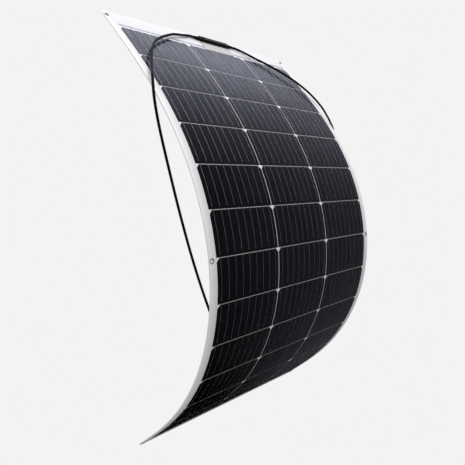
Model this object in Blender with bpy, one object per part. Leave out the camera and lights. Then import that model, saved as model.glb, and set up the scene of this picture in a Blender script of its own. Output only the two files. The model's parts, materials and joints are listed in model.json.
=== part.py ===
"""Semi-flexible solar sheet, hanging in the curve that it is sold in.

Half-cut cells in rows lie between a white back sheet and a clear front film. The sheet bends on
the gaps between its rows, so each row is a flat band that turns on the line above it. A slim
junction box sits on the front near the top end. Its two leads come round the side edges, hang
behind the sheet and are plugged into each other.

Frame: metres, +Z up, -Y to the front, +X to the right seen from the front. The origin is the
middle of the top band's back face, where the sheet is held.
"""
from math import cos, pi, radians, sin

import bmesh
import bpy
from mathutils import Vector

# Cells and sheet
ROWS = 12
COLUMNS = 3
CELL_WIDTH = 0.15875
CELL_LENGTH = 0.079375
CELL_GAP = 0.002
CELL_CORNER = 0.0065
CELL_THICKNESS = 0.0002
CELL_TIE = 0.006
SIDE_MARGIN = 0.0165
TOP_MARGIN = 0.048
BOTTOM_MARGIN = 0.0345
SHEET_CORNER = 0.012
BACK_THICKNESS = 0.0010
FILM_OVER_CELLS = 0.0007

# Clearances
TOUCH_GAP = 0.0003
BAND_GAP = 0.0006

# The curve: the top band's lean from upright, and the bend at each line between two rows
TOP_LEAN = 40.0
LINE_BENDS = (3.3, 5.1, 7.0, 8.8, 10.3, 11.4, 12.2, 12.0, 11.3, 9.4, 6.4)

# Bus ribbons across the ends of the strings
RIBBON_WIDTH = 0.005
RIBBON_SETBACK = 0.008
RIBBON_ROOM = 0.016

# Eyelets
EYELET_BORE = 0.00275
EYELET_BARREL = 0.00325
EYELET_FLANGE = 0.005
EYELET_FLANGE_THICKNESS = 0.0005
EYELET_LIP_THICKNESS = 0.0006
EYELET_FROM_SIDE = 0.0062
EYELET_FROM_END = 0.0135
MIDDLE_ROW = 6
MIDDLE_EYELET_DROP = 0.003
EYELET_LAND = 0.0025

# Junction box, on the front of the top band
BOX_LENGTH = 0.087
BOX_WIDTH = 0.011
BOX_OFFSET = 0.012
BOX_FROM_END = 0.0135
BOX_WALL = 0.0012
PAD_THICKNESS = 0.0004
BASE_HEIGHT = 0.0044
LID_THICKNESS = 0.0013
TERMINAL = (0.012, 0.005, 0.0012)
DIODE = (0.010, 0.005, 0.0020)
TERMINAL_SPREAD = 0.028
RELIEF_LENGTH = 0.013
RELIEF_ROOT = 0.0031
RELIEF_TIP = 0.0028

# Leads and their connectors
LEAD_DIAMETER = 0.005
LEAD_POINTS = 79
LEAD_AXIS_HEIGHT = 0.0034
CONNECTOR_CENTRE = (-0.002, -0.037, -0.719)
CONNECTOR_RADIUS = 0.0085
CONNECTOR_HALF = 0.048
NUT_LENGTH = 0.018
NUT_MOUTH = 0.0055
SPIGOT_RADIUS = 0.006
SPIGOT_LENGTH = 0.0095
NOSE_RADIUS = 0.005
NOSE_LENGTH = 0.018
NOSE_BORE = 0.0023
PIN_RADIUS = 0.0015
SEAL_THICKNESS = 0.0012
SEAL_WIDTH = 0.003

LEFT_ROUTE = (
    (-0.0451, 0.0280, 0.0425), (-0.060, 0.0275, 0.042), (-0.083, 0.0215, 0.0365),
    (-0.110, 0.015, 0.0305), (-0.134, 0.0055, 0.0205), (-0.157, -0.005, 0.0095),
    (-0.183, -0.0195, -0.006), (-0.202, -0.0345, -0.0235), (-0.218, -0.0495, -0.042),
    (-0.231, -0.0645, -0.0615), (-0.244, -0.080, -0.0815), (-0.257, -0.097, -0.105),
    (-0.2625, -0.1035, -0.142), (-0.257, -0.102, -0.190), (-0.245, -0.1015, -0.264),
    (-0.2315, -0.1015, -0.3395), (-0.216, -0.102, -0.415), (-0.197, -0.1025, -0.4895),
    (-0.174, -0.103, -0.563), (-0.150, -0.1035, -0.6215), (-0.129, -0.098, -0.661),
    (-0.1075, -0.079, -0.688), (-0.091, -0.062, -0.703), (-0.077, -0.0475, -0.7125),
    (-0.0645, -0.0385, -0.718), (-0.0503, -0.037, -0.719))
RIGHT_ROUTE = (
    (0.0691, 0.028, 0.0425), (0.083, 0.0275, 0.042), (0.104, 0.020, 0.0345),
    (0.128, 0.0095, 0.0235), (0.158, -0.0015, 0.012), (0.186, -0.016, -0.0035),
    (0.212, -0.0305, -0.020), (0.232, -0.0465, -0.0395), (0.245, -0.0605, -0.058),
    (0.253, -0.0745, -0.0775), (0.2585, -0.087, -0.097), (0.2605, -0.098, -0.1175),
    (0.2605, -0.1085, -0.1385), (0.261, -0.115, -0.163), (0.255, -0.1125, -0.2255),
    (0.245, -0.1115, -0.285), (0.231, -0.1115, -0.3585), (0.214, -0.111, -0.437),
    (0.1935, -0.1105, -0.514), (0.1715, -0.110, -0.5805), (0.148, -0.1075, -0.6355),
    (0.123, -0.090, -0.674), (0.105, -0.0745, -0.6925), (0.0875, -0.0605, -0.7045),
    (0.073, -0.0475, -0.713), (0.0605, -0.0385, -0.718), (0.0463, -0.037, -0.719))

# What follows from them
PITCH = CELL_LENGTH + CELL_GAP
HALF_WIDTH = (COLUMNS * CELL_WIDTH + (COLUMNS - 1) * CELL_GAP) / 2 + SIDE_MARGIN
HALF_CELLS = HALF_WIDTH - SIDE_MARGIN
POCKET_DEPTH = CELL_THICKNESS + TOUCH_GAP
THICKNESS = BACK_THICKNESS + TOUCH_GAP + POCKET_DEPTH + FILM_OVER_CELLS
BACK_FACE = -THICKNESS / 2
BACK_FRONT = BACK_FACE + BACK_THICKNESS
FRONT_FACE = THICKNESS / 2
SHEET_TOP = CELL_GAP / 2 - TOP_MARGIN
SHEET_BOTTOM = CELL_GAP / 2 + CELL_LENGTH + BOTTOM_MARGIN
EYELET_X = HALF_WIDTH - EYELET_FROM_SIDE
EAR_RISE = EYELET_FLANGE + EYELET_LAND - MIDDLE_EYELET_DROP
EAR_INNER = EYELET_X - EYELET_FLANGE - EYELET_LAND


def front_way(lean):
    """The way that a band's front faces, for its lean in radians."""
    return Vector((0, -cos(lean), sin(lean)))


def down_way(lean):
    """The way down a band, away from the top end."""
    return Vector((0, -sin(lean), -cos(lean)))


def band_frames():
    """Each band's lean, and the point on its upper line at the middle of its thickness."""
    lean = radians(TOP_LEAN)
    held = (SHEET_TOP + PITCH - BAND_GAP / 2) / 2
    line = -held * down_way(lean) - BACK_FACE * front_way(lean)
    frames = [(lean, line)]
    for bend in LINE_BENDS:
        line = line + PITCH * down_way(lean)
        lean = lean - radians(bend)
        frames.append((lean, line))
    return frames


def principled(name, colour, roughness, metallic=0.0):
    material = bpy.data.materials.new(name)
    material.use_nodes = True
    shader = material.node_tree.nodes["Principled BSDF"]
    shader.inputs["Base Color"].default_value = (*colour, 1.0)
    shader.inputs["Roughness"].default_value = roughness
    shader.inputs["Metallic"].default_value = metallic
    return material


FINISHES = {
    "white_sheet": ((0.86, 0.87, 0.88), 0.45, 0.0),
    "black_cell": ((0.012, 0.013, 0.024), 0.25, 0.0),
    "clear_film": ((0.90, 0.91, 0.92), 0.20, 0.0),
    "tinned_ribbon": ((0.62, 0.63, 0.65), 0.35, 1.0),
    "eyelet_metal": ((0.70, 0.70, 0.72), 0.25, 1.0),
    "black_plastic": ((0.015, 0.015, 0.016), 0.40, 0.0),
    "foam_tape": ((0.03, 0.03, 0.03), 0.90, 0.0),
    "brass": ((0.72, 0.55, 0.28), 0.30, 1.0),
    "black_rubber": ((0.018, 0.018, 0.018), 0.60, 0.0),
    "red_seal": ((0.45, 0.10, 0.07), 0.60, 0.0),
}


def make_object(name, mesh, finish, parent=None):
    """A named object with a material of its own."""
    mesh.materials.append(principled(name, *FINISHES[finish]))
    thing = bpy.data.objects.new(name, mesh)
    bpy.context.scene.collection.objects.link(thing)
    thing.parent = parent
    return thing


def finish_mesh(name, shape, smooth=False):
    bmesh.ops.remove_doubles(shape, verts=shape.verts, dist=1e-7)
    bmesh.ops.recalc_face_normals(shape, faces=shape.faces)
    mesh = bpy.data.meshes.new(name)
    shape.to_mesh(mesh)
    shape.free()
    if smooth:
        mesh.shade_smooth()
        mesh.set_sharp_from_angle(angle=radians(35))
    return mesh


def add_prism(shape, outline, low, high):
    """A plate in a band's frame: its outline in (across, down), between two heights."""
    corners = [shape.verts.new((x, -low, -down)) for x, down in outline]
    face = shape.faces.new(corners)
    lifted = bmesh.ops.extrude_face_region(shape, geom=[face])
    tops = [item for item in lifted["geom"] if isinstance(item, bmesh.types.BMVert)]
    bmesh.ops.translate(shape, verts=tops, vec=(0, low - high, 0))


def prism_mesh(name, outlines, low, high):
    shape = bmesh.new()
    for outline in outlines:
        add_prism(shape, outline, low, high)
    return finish_mesh(name, shape)


def rectangle(left, right, top, bottom):
    return [(left, top), (right, top), (right, bottom), (left, bottom)]


def centred(x, down, length, width):
    return rectangle(x - length / 2, x + length / 2, down - width / 2, down + width / 2)


def turned_mesh(name, profile, sides, closed):
    """A turned piece along +X from (along, radius) points, closed for a ring."""
    shape = bmesh.new()
    verts = [shape.verts.new((along, radius, 0)) for along, radius in profile]
    edges = [shape.edges.new(pair) for pair in zip(verts, verts[1:])]
    if closed:
        edges.append(shape.edges.new((verts[-1], verts[0])))
    bmesh.ops.spin(shape, geom=verts + edges, cent=(0, 0, 0), axis=(1, 0, 0), dvec=(0, 0, 0),
                   angle=2 * pi, steps=sides, use_merge=True)
    return finish_mesh(name, shape, smooth=True)


def face_out(thing, x, down):
    """Put a piece turned along +X through a band, with its +X to the band's front."""
    thing.location = (x, 0, -down)
    thing.rotation_euler = (0, 0, -pi / 2)


def cut(thing, cutter):
    cutter.hide_render = True
    cutter.display_type = "WIRE"
    modifier = thing.modifiers.new("cut_" + cutter.name, "BOOLEAN")
    modifier.operation = "DIFFERENCE"
    modifier.solver = "EXACT"
    modifier.object = cutter


def make_cutter(name, outlines, low, high, parent):
    mesh = prism_mesh(name, outlines, low, high)
    cutter = bpy.data.objects.new(name, mesh)
    bpy.context.scene.collection.objects.link(cutter)
    cutter.parent = parent
    return cutter


def circle(x, down, radius, sides=24):
    turns = [2 * pi * step / sides for step in range(sides)]
    return [(x + radius * cos(turn), down + radius * sin(turn)) for turn in turns]


def rounded_corner(x, down, start):
    """A quarter turn of the sheet's corner, about (x, down), from an angle in degrees."""
    turns = [radians(start + 15 * step) for step in range(7)]
    return [(x + SHEET_CORNER * cos(turn), down + SHEET_CORNER * sin(turn)) for turn in turns]


def band_ends(row):
    top = SHEET_TOP if row == 0 else BAND_GAP / 2
    bottom = SHEET_BOTTOM if row == ROWS - 1 else PITCH - BAND_GAP / 2
    return top, bottom


def band_outline(row):
    """A band's outline. The middle eyelets' ears reach up into notches in the band above."""
    top, bottom = band_ends(row)
    in_x = HALF_WIDTH - SHEET_CORNER
    if row == 0:
        upper = rounded_corner(-in_x, top + SHEET_CORNER, 180)
        upper += rounded_corner(in_x, top + SHEET_CORNER, 270)
    elif row == MIDDLE_ROW:
        upper = [(-HALF_WIDTH, -EAR_RISE), (-EAR_INNER, -EAR_RISE), (-EAR_INNER, top)]
        upper += [(EAR_INNER, top), (EAR_INNER, -EAR_RISE), (HALF_WIDTH, -EAR_RISE)]
    else:
        upper = [(-HALF_WIDTH, top), (HALF_WIDTH, top)]
    if row == ROWS - 1:
        lower = rounded_corner(in_x, bottom - SHEET_CORNER, 0)
        lower += rounded_corner(-in_x, bottom - SHEET_CORNER, 90)
    elif row == MIDDLE_ROW - 1:
        notch_x = EAR_INNER - BAND_GAP
        notch_top = PITCH - EAR_RISE - BAND_GAP
        lower = [(HALF_WIDTH, notch_top), (notch_x, notch_top), (notch_x, bottom)]
        lower += [(-notch_x, bottom), (-notch_x, notch_top), (-HALF_WIDTH, notch_top)]
    else:
        lower = [(HALF_WIDTH, bottom), (-HALF_WIDTH, bottom)]
    return upper + lower


def eyelet_downs():
    """The rows that carry eyelets, with each pair's place down its band."""
    return {0: SHEET_TOP + EYELET_FROM_END, MIDDLE_ROW: MIDDLE_EYELET_DROP,
            ROWS - 1: SHEET_BOTTOM - EYELET_FROM_END}


def cell_row_outline():
    """Half-cut cells side by side, tied across their gaps by a strip of the layer they lie on.

    A cell's two upper corners carry the full cell's chamfers.
    """
    top = CELL_GAP / 2
    bottom = top + CELL_LENGTH
    tie_top = (top + bottom - CELL_TIE) / 2
    tie_bottom = tie_top + CELL_TIE
    upper, lower = [], []
    for column in range(COLUMNS):
        left = column * (CELL_WIDTH + CELL_GAP) - HALF_CELLS
        right = left + CELL_WIDTH
        if column > 0:
            upper.append((left, tie_top))
            lower.append((left, tie_bottom))
        upper += [(left, top + CELL_CORNER), (left + CELL_CORNER, top)]
        upper += [(right - CELL_CORNER, top), (right, top + CELL_CORNER)]
        lower += [(left, bottom), (right, bottom)]
        if column < COLUMNS - 1:
            upper.append((right, tie_top))
            lower.append((right, tie_bottom))
    return upper + lower[::-1]


def make_band(row, hinge):
    """One row of the laminate: back sheet, cells and front film."""
    label = f"{row + 1:02d}"
    outline = band_outline(row)
    back = make_object("back_sheet_" + label,
                       prism_mesh("back_sheet_" + label, [outline], BACK_FACE, BACK_FRONT),
                       "white_sheet", hinge)
    low = BACK_FRONT + TOUCH_GAP
    cells = prism_mesh("cell_row_" + label, [cell_row_outline()], low, low + CELL_THICKNESS)
    make_object("cell_row_" + label, cells, "black_cell", hinge)
    film = make_object("front_film_" + label,
                       prism_mesh("front_film_" + label, [outline], low, FRONT_FACE),
                       "clear_film", hinge)
    pocket_top = CELL_GAP / 2 - TOUCH_GAP
    pocket_bottom = CELL_GAP / 2 + CELL_LENGTH + TOUCH_GAP
    if row == 0:
        pocket_top -= RIBBON_ROOM
    if row == ROWS - 1:
        pocket_bottom += RIBBON_ROOM
    pocket = rectangle(-HALF_CELLS - TOUCH_GAP, HALF_CELLS + TOUCH_GAP, pocket_top, pocket_bottom)
    cut(film, make_cutter("pocket_" + label, [pocket], BACK_FACE, low + POCKET_DEPTH, hinge))
    if row in eyelet_downs():
        down = eyelet_downs()[row]
        radius = EYELET_BARREL + TOUCH_GAP
        holes = make_cutter("holes_" + label,
                            [circle(-EYELET_X, down, radius), circle(EYELET_X, down, radius)],
                            2 * BACK_FACE, 2 * FRONT_FACE, hinge)
        cut(back, holes)
        cut(film, holes)


def make_ribbons(hinges):
    """Bus ribbons: one joins two cell strings at the top end, and one at the bottom end."""
    low = BACK_FRONT + TOUCH_GAP
    first = -HALF_CELLS + CELL_WIDTH
    second = first + CELL_GAP
    for name, row, down, left, right in (
            ("bus_ribbon_top", 0, CELL_GAP / 2 - RIBBON_SETBACK, second, HALF_CELLS),
            ("bus_ribbon_bottom", ROWS - 1, CELL_GAP / 2 + CELL_LENGTH + RIBBON_SETBACK,
             -HALF_CELLS, second + CELL_WIDTH)):
        top = down - RIBBON_WIDTH / 2
        strip = rectangle(left, right, top, top + RIBBON_WIDTH)
        mesh = prism_mesh(name, [strip], low, low + CELL_THICKNESS)
        make_object(name, mesh, "tinned_ribbon", hinges[row])


def make_eyelets(hinges):
    """Flanged barrels through the laminate, rolled over a lip behind it."""
    names = {0: "top", MIDDLE_ROW: "middle", ROWS - 1: "bottom"}
    flange_under = FRONT_FACE + TOUCH_GAP
    flange_top = flange_under + EYELET_FLANGE_THICKNESS
    lip_top = BACK_FACE - TOUCH_GAP
    lip_under = lip_top - EYELET_LIP_THICKNESS
    barrel = [(flange_top, EYELET_BORE), (flange_top, EYELET_FLANGE),
              (flange_under, EYELET_FLANGE), (flange_under, EYELET_BARREL),
              (lip_top, EYELET_BARREL), (lip_top, EYELET_FLANGE),
              (lip_under, EYELET_FLANGE), (lip_under, EYELET_BORE)]
    for row, down in eyelet_downs().items():
        for side, x in (("left", -EYELET_X), ("right", EYELET_X)):
            name = f"eyelet_{names[row]}_{side}"
            mesh = turned_mesh(name, barrel, 24, closed=True)
            eyelet = make_object(name, mesh, "eyelet_metal", hinges[row])
            face_out(eyelet, x, down)


def make_junction_box(hinge):
    """A slim box on a foam pad: tray, lid, two terminals and a bypass diode."""
    down = SHEET_TOP + BOX_FROM_END
    pad_low = FRONT_FACE + TOUCH_GAP
    base_low = pad_low + PAD_THICKNESS + TOUCH_GAP
    base_top = base_low + BASE_HEIGHT
    lid_low = base_top + TOUCH_GAP
    whole = centred(BOX_OFFSET, down, BOX_LENGTH, BOX_WIDTH)
    inner = centred(BOX_OFFSET, down, BOX_LENGTH - 2 * BOX_WALL, BOX_WIDTH - 2 * BOX_WALL)
    make_object("junction_box_pad",
                prism_mesh("junction_box_pad", [whole], pad_low, pad_low + PAD_THICKNESS),
                "foam_tape", hinge)
    base = make_object("junction_box_base",
                       prism_mesh("junction_box_base", [whole], base_low, base_top),
                       "black_plastic", hinge)
    floor = base_low + BOX_WALL
    cut(base, make_cutter("box_inside", [inner], floor, base_top + BOX_WALL, hinge))
    make_object("junction_box_lid",
                prism_mesh("junction_box_lid", [whole], lid_low, lid_low + LID_THICKNESS),
                "black_plastic", hinge)
    low = floor + TOUCH_GAP
    for name, x, (length, width, height), finish in (
            ("terminal_left", BOX_OFFSET - TERMINAL_SPREAD, TERMINAL, "brass"),
            ("terminal_right", BOX_OFFSET + TERMINAL_SPREAD, TERMINAL, "brass"),
            ("bypass_diode", BOX_OFFSET, DIODE, "black_plastic")):
        mesh = prism_mesh(name, [centred(x, down, length, width)], low, low + height)
        make_object(name, mesh, finish, hinge)
    relief = [(0, 0), (0, RELIEF_ROOT), (RELIEF_LENGTH, RELIEF_TIP), (RELIEF_LENGTH, 0)]
    for name, side in (("strain_relief_left", -1), ("strain_relief_right", 1)):
        boot = make_object(name, turned_mesh(name, relief, 20, closed=False), "black_rubber", hinge)
        boot.location = (BOX_OFFSET + side * (BOX_LENGTH / 2 + TOUCH_GAP),
                         -(FRONT_FACE + LEAD_AXIS_HEIGHT), -down)
        boot.rotation_euler = (0, 0, 0 if side > 0 else pi)


def smooth_route(points, count):
    """Evenly spaced points on a Catmull-Rom curve through a lead's own points."""
    route = [Vector(point) for point in points]
    route = [2 * route[0] - route[1], *route, 2 * route[-1] - route[-2]]
    dense = []
    for a, b, c, d in zip(route, route[1:], route[2:], route[3:]):
        for step in range(24):
            t = step / 24
            dense.append(0.5 * (2 * b + (c - a) * t + (2 * a - 5 * b + 4 * c - d) * t ** 2
                                + (3 * b - a - 3 * c + d) * t ** 3))
    dense.append(route[-2])
    lengths = [0.0]
    for first, second in zip(dense, dense[1:]):
        lengths.append(lengths[-1] + (second - first).length)
    even = []
    place = 0
    for index in range(count):
        want = lengths[-1] * index / (count - 1)
        while place < len(dense) - 2 and lengths[place + 1] < want:
            place += 1
        share = (want - lengths[place]) / (lengths[place + 1] - lengths[place])
        even.append(dense[place].lerp(dense[place + 1], share))
    return even


def make_lead(name, route):
    curve = bpy.data.curves.new(name, "CURVE")
    curve.dimensions = "3D"
    curve.bevel_depth = LEAD_DIAMETER / 2
    curve.bevel_resolution = 2
    curve.use_fill_caps = True
    spline = curve.splines.new("POLY")
    points = smooth_route(route, LEAD_POINTS)
    spline.points.add(len(points) - 1)
    for spot, point in zip(spline.points, points):
        spot.co = (*point, 1.0)
    make_object(name, curve, "black_rubber")


def make_connectors():
    """A mated pair of connectors along X, each with its cap nut on the lead's end."""
    outer, half = CONNECTOR_RADIUS, CONNECTOR_HALF
    nut_end = half - NUT_LENGTH
    spigot_end = nut_end + SPIGOT_LENGTH
    bore = SPIGOT_RADIUS + TOUCH_GAP
    nut = [(half, 0), (half, NUT_MOUTH), (half - 0.3 * NUT_LENGTH, outer), (nut_end, outer),
           (nut_end, bore), (spigot_end + TOUCH_GAP, bore), (spigot_end + TOUCH_GAP, 0)]
    shoulder = nut_end - TOUCH_GAP
    throat = NOSE_RADIUS + TOUCH_GAP
    mouth = throat + SEAL_THICKNESS + TOUCH_GAP
    deep = NOSE_LENGTH + 2 * TOUCH_GAP
    socket = [(-spigot_end, 0), (-spigot_end, SPIGOT_RADIUS), (-shoulder, SPIGOT_RADIUS),
              (-shoulder, outer), (0, outer), (0, mouth), (-SEAL_WIDTH - 2 * TOUCH_GAP, mouth),
              (-SEAL_WIDTH - 2 * TOUCH_GAP, throat), (-deep, throat), (-deep, 0)]
    plug = [(spigot_end, 0), (spigot_end, SPIGOT_RADIUS), (shoulder, SPIGOT_RADIUS),
            (shoulder, outer), (TOUCH_GAP, outer), (TOUCH_GAP, NOSE_RADIUS),
            (-NOSE_LENGTH, NOSE_RADIUS), (-NOSE_LENGTH, NOSE_BORE), (TOUCH_GAP, NOSE_BORE),
            (TOUCH_GAP, 0)]
    pin = [(-deep + TOUCH_GAP, 0), (-deep + TOUCH_GAP, PIN_RADIUS), (0, PIN_RADIUS), (0, 0)]
    seal = [(-TOUCH_GAP, throat), (-TOUCH_GAP, throat + SEAL_THICKNESS),
            (-TOUCH_GAP - SEAL_WIDTH, throat + SEAL_THICKNESS), (-TOUCH_GAP - SEAL_WIDTH, throat)]
    mirrored = [(-along, radius) for along, radius in nut]
    for name, profile, finish, closed in (
            ("connector_nut_left", mirrored, "black_plastic", False),
            ("connector_nut_right", nut, "black_plastic", False),
            ("connector_socket", socket, "black_plastic", False),
            ("connector_plug", plug, "black_plastic", False),
            ("connector_pin", pin, "brass", False),
            ("connector_seal", seal, "red_seal", True)):
        piece = make_object(name, turned_mesh(name, profile, 24, closed), finish)
        piece.location = CONNECTOR_CENTRE


def make_hinges():
    """An empty on each band's upper line, turned to the band's lean."""
    hinges = []
    for row, (lean, line) in enumerate(band_frames()):
        hinge = bpy.data.objects.new(f"band_{row + 1:02d}_line", None)
        bpy.context.scene.collection.objects.link(hinge)
        hinge.location = line
        hinge.rotation_euler = (-lean, 0, 0)
        hinges.append(hinge)
    return hinges


def main():
    for thing in list(bpy.data.objects):
        bpy.data.objects.remove(thing, do_unlink=True)
    hinges = make_hinges()
    for row, hinge in enumerate(hinges):
        make_band(row, hinge)
    make_ribbons(hinges)
    make_eyelets(hinges)
    make_junction_box(hinges[0])
    make_lead("lead_left", LEFT_ROUTE)
    make_lead("lead_right", RIGHT_ROUTE)
    make_connectors()


main()
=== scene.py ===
# %% [markdown]
# # A flexible solar sheet, hanging in its curl
# A semi-flexible solar sheet is a sandwich two or three millimetres thick: a white back sheet,
# rows of black half-cut cells and a clear front film, pressed into one bendable laminate. A slim
# box near the top end gathers the current, and two leads come out of it. This lesson builds the
# looks of such a sheet round a ready engineering model, so each visible piece has to lie where
# that model says, and to move with one of its bodies.

# %% The frame, and the tools of this lesson
import json
from math import cos, floor, pi, radians, sin

import bmesh
import bpy
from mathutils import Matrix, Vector


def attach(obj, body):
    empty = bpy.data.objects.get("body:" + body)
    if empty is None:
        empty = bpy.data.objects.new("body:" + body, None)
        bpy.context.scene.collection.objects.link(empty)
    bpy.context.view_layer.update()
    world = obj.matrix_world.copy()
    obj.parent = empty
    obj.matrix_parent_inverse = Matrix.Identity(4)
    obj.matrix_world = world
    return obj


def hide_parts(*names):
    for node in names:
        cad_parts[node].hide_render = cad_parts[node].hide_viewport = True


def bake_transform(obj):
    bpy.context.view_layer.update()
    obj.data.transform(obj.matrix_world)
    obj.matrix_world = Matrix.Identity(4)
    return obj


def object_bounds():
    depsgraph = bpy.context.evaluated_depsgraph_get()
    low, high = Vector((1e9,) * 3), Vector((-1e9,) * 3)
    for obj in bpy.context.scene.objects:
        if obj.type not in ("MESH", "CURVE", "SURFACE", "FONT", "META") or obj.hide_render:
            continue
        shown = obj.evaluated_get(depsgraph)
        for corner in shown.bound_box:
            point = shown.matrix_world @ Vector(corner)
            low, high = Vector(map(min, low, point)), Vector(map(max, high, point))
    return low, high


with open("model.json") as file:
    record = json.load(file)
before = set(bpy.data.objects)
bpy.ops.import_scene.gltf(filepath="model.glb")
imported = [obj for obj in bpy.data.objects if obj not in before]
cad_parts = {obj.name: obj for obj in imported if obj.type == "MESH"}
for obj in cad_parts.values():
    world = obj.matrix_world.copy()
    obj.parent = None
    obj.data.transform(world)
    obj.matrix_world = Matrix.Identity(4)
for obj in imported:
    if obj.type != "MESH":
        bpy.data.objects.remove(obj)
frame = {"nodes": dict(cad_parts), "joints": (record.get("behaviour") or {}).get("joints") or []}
cad_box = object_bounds()
nodes = frame["nodes"]

# %% [markdown]
# ## The camera
# The sheet is seen from its left, a little above its middle, with its top end leaning away. A
# camera could be aimed with a constraint, but a position and three directions say the same thing
# without anything live in the file, so the matrix is written out from them.

# %% The camera's place and directions
CAMERA_PLACE = Vector((-0.76923, -0.79113, -0.34397))
CAMERA_RIGHT = Vector((0.64746, -0.75801, -0.07883))
CAMERA_UP = Vector((0.13968, 0.01635, 0.99006))
CAMERA_BACK = Vector((-0.74919, -0.65204, 0.11646))

lens = bpy.data.cameras.new("camera")
lens.lens = 36.72
lens.shift_x = -0.0972
lens.shift_y = 0.0711
camera = bpy.data.objects.new("camera", lens)
bpy.context.scene.collection.objects.link(camera)
for column, way in enumerate((CAMERA_RIGHT, CAMERA_UP, CAMERA_BACK, CAMERA_PLACE)):
    for row in range(3):
        camera.matrix_world[row][column] = way[row]
bpy.context.scene.camera = camera
print("camera", [round(value, 3) for value in CAMERA_PLACE], "lens", lens.lens, "mm")

# %% [markdown]
# ## Small helpers for objects and finishes
# Each finish is a small tree of nodes. Writing the same eight lines for each tree would hide what
# differs between them, so a few helpers make nodes, join them and set their sockets by name.

# %% Making objects and trees of nodes
def link_object(name, data):
    """An object in the scene, round some data."""
    thing = bpy.data.objects.new(name, data)
    bpy.context.scene.collection.objects.link(thing)
    return thing


def new_finish(name, colour, roughness, metallic=0.0, **settings):
    """A material with a Principled shader, whose plain sockets are set straight on it."""
    finish = bpy.data.materials.new(name)
    finish.use_nodes = True
    shader = finish.node_tree.nodes["Principled BSDF"]
    shader.inputs["Base Color"].default_value = (*colour, 1.0)
    shader.inputs["Roughness"].default_value = roughness
    shader.inputs["Metallic"].default_value = metallic
    for label, value in settings.items():
        shader.inputs[label.replace("_", " ")].default_value = value
    return finish, finish.node_tree, shader


def fill(tree, socket, value):
    """Joins another node's output to a socket, or sets the socket to a plain value."""
    if isinstance(value, bpy.types.NodeSocket):
        tree.links.new(value, socket)
    else:
        socket.default_value = value


def add_node(tree, kind, settings=None, **sockets):
    """A node of a kind, with its properties and what goes into its named sockets."""
    node = tree.nodes.new(kind)
    for label, value in (settings or {}).items():
        setattr(node, label, value)
    for label, value in sockets.items():
        fill(tree, node.inputs[label.replace("_", " ")], value)
    return node


def feed(tree, shader, **sources):
    """Joins other nodes' outputs to a shader's named sockets."""
    for label, source in sources.items():
        tree.links.new(source, shader.inputs[label.replace("_", " ")])


# %% Nodes for patterns
def math_node(tree, operation, first, second=None):
    """A Math node. Its inputs are numbers or other nodes' outputs."""
    node = add_node(tree, "ShaderNodeMath", {"operation": operation})
    for index, value in enumerate((first, second)):
        if value is not None:
            fill(tree, node.inputs[index], value)
    return node.outputs[0]


def noise(tree, vector, scale, detail=3.0, roughness=0.5):
    """A cloudy value round a half, with a number of clouds to a metre."""
    return add_node(tree, "ShaderNodeTexNoise", Vector=vector, Scale=scale, Detail=detail,
                    Roughness=roughness).outputs["Fac"]


def spread(tree, value, low, high, out_low, out_high):
    """Maps a value from one range to another, and keeps it there."""
    return add_node(tree, "ShaderNodeMapRange", Value=value, From_Min=low, From_Max=high,
                    To_Min=out_low, To_Max=out_high).outputs["Result"]


def mix_colour(tree, share, first, second):
    """A colour between two, by a share from 0 to 1."""
    node = add_node(tree, "ShaderNodeMix", {"data_type": "RGBA"})
    for index, value in ((0, share), (6, first), (7, second)):
        fill(tree, node.inputs[index], (*value, 1.0) if isinstance(value, tuple) else value)
    return node.outputs[2]


def bump(tree, height, strength, distance):
    """A normal from a height."""
    return add_node(tree, "ShaderNodeBump", Height=height, Strength=strength,
                    Distance=distance).outputs["Normal"]


def object_place(tree):
    """A place on a piece in metres, in its own axes."""
    return add_node(tree, "ShaderNodeTexCoord").outputs["Object"]


def mottle(tree, shader, field, colours, roughness):
    """Has colour and roughness wander with a field of noise, each between two values."""
    feed(tree, shader, Base_Color=mix_colour(tree, field, *colours),
         Roughness=spread(tree, field, 0.3, 0.7, *roughness))


print("helpers ready")

# %% [markdown]
# ## The finish of black rubber and black plastic
# The leads' jacket is a matte rubber-like plastic with a faint dusty bloom, and the box and the
# connectors are moulded in a harder plastic with a fine spark-eroded grain. Both could be one flat
# black, but it is the broken gloss that tells them apart, so noise drives roughness and bump.

# %% The leads' jacket, and the moulded plastic
def black_finish(name, colour, worn, rough_low, rough_high, grain, height):
    """A dark finish with a bloom in a worn colour, and a grain of some points to a metre."""
    finish, tree, shader = new_finish(name, colour, 0.5, Specular_IOR_Level=0.15)
    place = object_place(tree)
    cloud = noise(tree, place, 60.0, 4.0, 0.6)
    fine = noise(tree, place, grain, 2.0, 0.5)
    both = math_node(tree, "MULTIPLY", cloud, fine)
    bloom = spread(tree, cloud, 0.4, 0.75, 0.0, 1.0)
    feed(tree, shader, Base_Color=mix_colour(tree, bloom, colour, worn),
         Roughness=spread(tree, both, 0.1, 0.45, rough_low, rough_high),
         Normal=bump(tree, fine, 0.35, height))
    return finish


jacket_finish = black_finish("lead_jacket", (0.0015, 0.0015, 0.0017), (0.004, 0.004, 0.0045),
                             0.42, 0.60, 1800.0, 0.00004)
plastic_finish = black_finish("moulded_black", (0.002, 0.002, 0.0025), (0.006, 0.006, 0.0065),
                              0.30, 0.48, 2600.0, 0.00005)
rubber_finish = black_finish("soft_black", (0.003, 0.003, 0.003), (0.008, 0.008, 0.008),
                             0.55, 0.72, 1400.0, 0.00006)
foam_finish = black_finish("foam_tape", (0.018, 0.018, 0.018), (0.035, 0.035, 0.036),
                           0.80, 0.95, 900.0, 0.00020)
print("black finishes", [finish.name for finish in (jacket_finish, plastic_finish,
                                                    rubber_finish, foam_finish)])

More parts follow.
